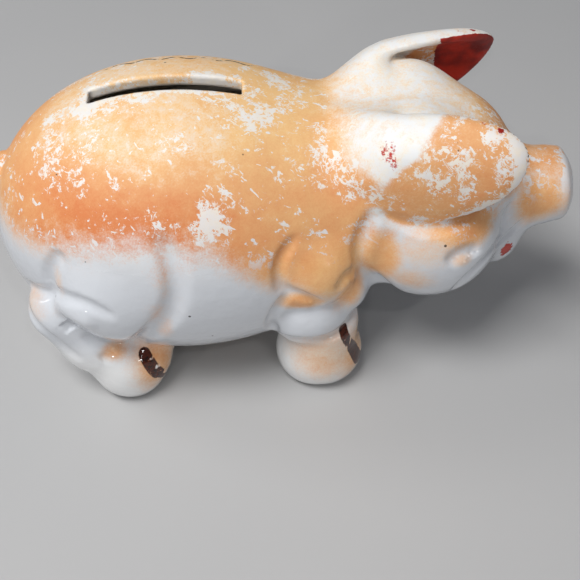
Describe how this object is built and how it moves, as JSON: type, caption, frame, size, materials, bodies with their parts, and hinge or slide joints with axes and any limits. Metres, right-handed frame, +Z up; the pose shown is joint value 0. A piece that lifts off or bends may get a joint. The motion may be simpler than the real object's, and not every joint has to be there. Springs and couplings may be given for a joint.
{
  "type": "piggy bank",
  "caption": "Standing pig money box in glazed ceramic, hollow, with a coin slot in its back, forward ears and a cork in a belly hole.",
  "frame": {"origin": "on the surface it stands on, under the middle of its bounding box", "axes": "+X towards the snout, +Y towards the pig's left, +Z up"},
  "size_m": [0.142, 0.0718, 0.077],
  "materials": {
    "glazed_body": "gloss glaze over airbrushed peach, white underneath",
    "glazed_ears": "gloss glaze, peach outside, red inside",
    "glazed_tail": "gloss glaze over airbrushed peach",
    "cork": "raw cork"
  },
  "bodies": {
    "bank": {"body_casting": "glazed_body", "left_ear": "glazed_ears", "right_ear": "glazed_ears", "tail": "glazed_tail"},
    "stopper": {"cork_stopper": "cork"}
  },
  "joints": [
    {"name": "stopper_pull", "type": "slide", "parent": "bank", "child": "stopper", "axis": [0, 0, -1], "range_m": [0, 0.018]}
  ]
}
